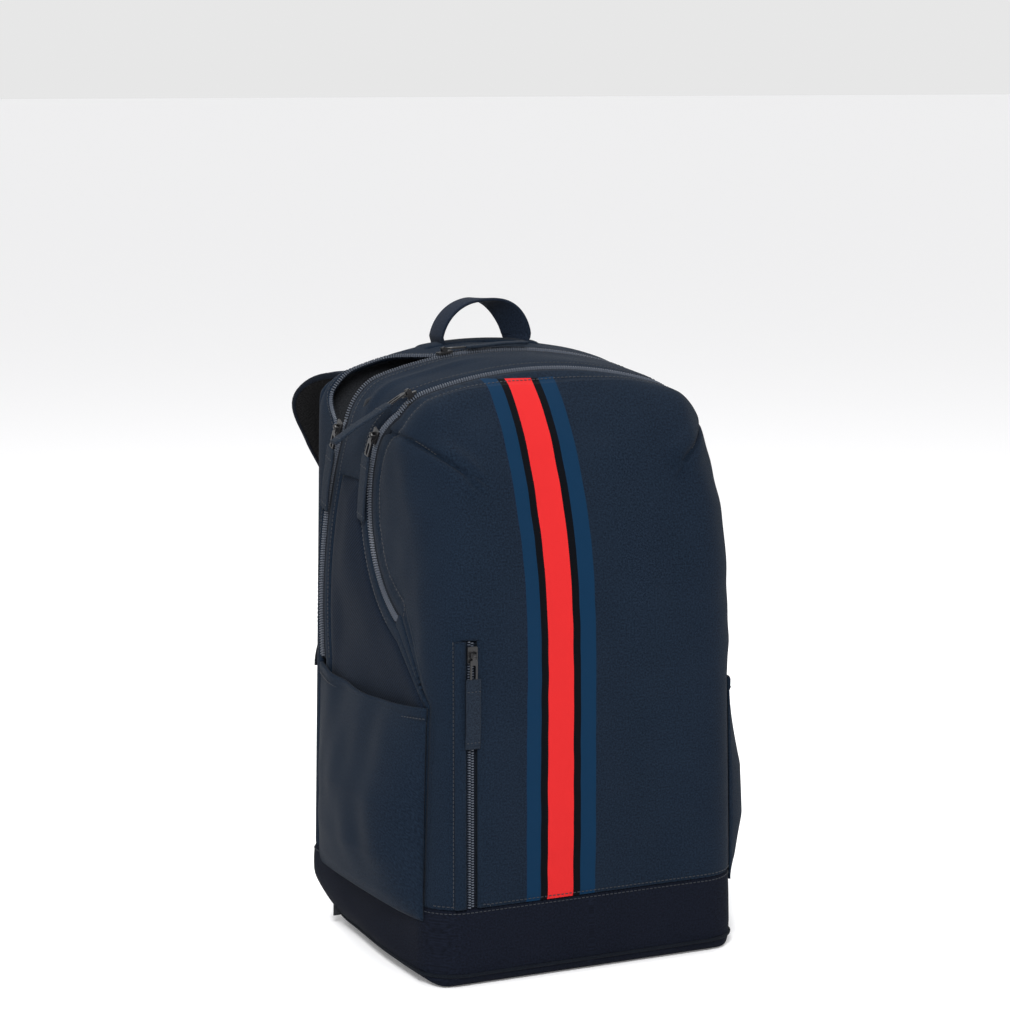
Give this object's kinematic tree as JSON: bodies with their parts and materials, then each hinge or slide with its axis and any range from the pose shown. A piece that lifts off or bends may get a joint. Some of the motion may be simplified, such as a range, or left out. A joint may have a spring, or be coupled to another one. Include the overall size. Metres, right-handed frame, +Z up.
{
  "type": "racket backpack",
  "caption": "Soft-sided backpack with a rear racket compartment, fold-down front flap, side pockets, grab handle and padded shoulder straps.",
  "frame": {"origin": "middle of the bottom of the base, on the surface that the bag stands on", "axes": "+Z up; +Y towards the back panel and shoulder straps; +X to the right when the front is seen"},
  "size_m": [0.3275, 0.3137, 0.493],
  "materials": {
    "face_fabric": "navy plain-weave polyester, slightly heathered, matt",
    "side_twill": "navy twill, matt",
    "base_fabric": "darker navy coated fabric, matt",
    "pocket_fabric": "navy plain weave, matt",
    "piping": "dark piping cord",
    "binding": "folded navy binding, stitched",
    "zip_tape": "woven zip tape",
    "zip_coil": "grey-navy moulded zip teeth",
    "lining": "light grey lining",
    "spacer_mesh": "black spacer mesh",
    "strap_fabric": "navy plain weave over foam",
    "webbing": "navy polypropylene webbing",
    "buckle_plastic": "black moulded acetal",
    "zip_metal": "black lacquered zinc",
    "pull_webbing": "narrow navy webbing, folded and stitched"
  },
  "bodies": {
    "root": {"back_pads": "spacer_mesh", "back_panel": "face_fabric", "base_band": "base_fabric", "base_piping": "piping", "body_zip_coil": "zip_coil", "body_zip_tape": "zip_tape", "bottom_panel": "base_fabric", "divider_panel": "lining", "front_panel": "face_fabric", "front_pocket_pouch": "lining", "handle_patch": "binding", "laptop_sleeve": "lining", "lumbar_pad": "spacer_mesh", "pocket_binding_left": "binding", "pocket_binding_right": "binding", "pocket_zip_coil": "zip_coil", "pocket_zip_tape": "zip_tape", "pocket_zip_welt": "binding", "racket_coil_back": "zip_coil", "racket_coil_front": "zip_coil", "racket_gusset": "face_fabric", "racket_tape_back": "zip_tape", "racket_tape_front": "zip_tape", "side_panel_left": "side_twill", "side_panel_right": "side_twill", "side_pocket_left": "pocket_fabric", "side_pocket_right": "pocket_fabric", "sleeve_binding": "binding", "strap_anchors": "webbing", "top_gusset": "face_fabric", "webbing_anchors": "webbing"},
    "flap": {"front_flap": "face_fabric", "flap_zip_tape": "zip_tape", "flap_zip_coil": "zip_coil"},
    "handle": {"grab_handle": "webbing"},
    "strap_left_loop": {"strap_cover_left": "strap_fabric", "strap_mesh_left": "spacer_mesh", "ladder_lock_left": "buckle_plastic", "strap_webbing_left": "webbing"},
    "strap_right_loop": {"strap_cover_right": "strap_fabric", "strap_mesh_right": "spacer_mesh", "ladder_lock_right": "buckle_plastic", "strap_webbing_right": "webbing"},
    "main_upper_runner": {"main_upper_slider": "zip_metal"},
    "main_upper_pull": {"main_upper_link": "zip_metal", "main_upper_tab": "pull_webbing"},
    "main_lower_runner": {"main_lower_slider": "zip_metal"},
    "main_lower_pull": {"main_lower_link": "zip_metal", "main_lower_tab": "pull_webbing"},
    "racket_top_runner": {"racket_top_slider": "zip_metal"},
    "racket_top_pull": {"racket_top_link": "zip_metal", "racket_top_tab": "pull_webbing"},
    "racket_side_runner": {"racket_side_slider": "zip_metal"},
    "racket_side_pull": {"racket_side_link": "zip_metal", "racket_side_tab": "pull_webbing"},
    "pocket_runner": {"pocket_slider": "zip_metal"},
    "pocket_pull": {"pocket_link": "zip_metal", "pocket_tab": "pull_webbing"}
  },
  "joints": [
    {"name": "flap_fold", "type": "hinge", "parent": "root", "child": "flap", "pos_m": [0, -0.122, 0.266], "axis": [1, 0, 0], "range_deg": [0, 95]},
    {"name": "handle_tilt", "type": "hinge", "parent": "root", "child": "handle", "pos_m": [0, 0.084, 0.45818], "axis": [1, 0, 0], "range_deg": [-12, 22], "stiffness_Nm_per_rad": 0.03},
    {"name": "strap_left_swing", "type": "hinge", "parent": "root", "child": "strap_left_loop", "pos_m": [-0.06, 0.112, 0.428], "axis": [-0.1047, 0, -0.9945], "range_deg": [-20, 20], "stiffness_Nm_per_rad": 0.3},
    {"name": "strap_right_swing", "type": "hinge", "parent": "root", "child": "strap_right_loop", "pos_m": [0.06, 0.112, 0.428], "axis": [0.1047, 0, -0.9945], "range_deg": [-20, 20], "stiffness_Nm_per_rad": 0.3},
    {"name": "main_upper_run", "type": "hinge", "parent": "root", "child": "main_upper_runner", "pos_m": [0, -0.032, 0.116], "axis": [0, 1, 0], "range_deg": [0, 37]},
    {"name": "main_upper_lift", "type": "hinge", "parent": "main_upper_runner", "child": "main_upper_pull", "pos_m": [-0.10861, -0.0302, 0.43608], "axis": [0, 1, 0], "range_deg": [0, 150]},
    {"name": "main_lower_run", "type": "hinge", "parent": "root", "child": "main_lower_runner", "pos_m": [-0.12517, -0.0946, 0.3513], "axis": [-0.9989, -0.0434, 0.02], "range_deg": [0, 85]},
    {"name": "main_lower_lift", "type": "hinge", "parent": "main_lower_runner", "child": "main_lower_pull", "pos_m": [-0.13253, -0.01699, 0.40194], "axis": [-0.0255, 0.8378, 0.5453], "range_deg": [0, 90]},
    {"name": "racket_top_run", "type": "hinge", "parent": "root", "child": "racket_top_runner", "pos_m": [0, 0.045, 0.12339], "axis": [0, 1, 0], "range_deg": [-9.5, 25]},
    {"name": "racket_top_lift", "type": "hinge", "parent": "racket_top_runner", "child": "racket_top_pull", "pos_m": [-0.04568, 0.045, 0.45829], "axis": [0, -1, 0], "range_deg": [0, 150]},
    {"name": "racket_side_run", "type": "hinge", "parent": "root", "child": "racket_side_runner", "pos_m": [-0.12254, -0.196, 0.2623], "axis": [-0.9989, -0.0434, 0.02], "range_deg": [0, 23.5]},
    {"name": "racket_side_lift", "type": "hinge", "parent": "racket_side_runner", "child": "racket_side_pull", "pos_m": [-0.1354, 0.04835, 0.40077], "axis": [-0.028, 0.8695, 0.4932], "range_deg": [0, 150]},
    {"name": "pocket_run", "type": "slide", "parent": "root", "child": "pocket_runner", "axis": [0, 0, -1], "range_m": [0, 0.168]},
    {"name": "pocket_lift", "type": "hinge", "parent": "pocket_runner", "child": "pocket_pull", "pos_m": [-0.099, -0.127, 0.252], "axis": [-1, 0, 0], "range_deg": [0, 150]}
  ],
  "couplings": [
    {"joint": "main_upper_lift", "follows": "main_upper_run", "ratio": 2.5}
  ]
}
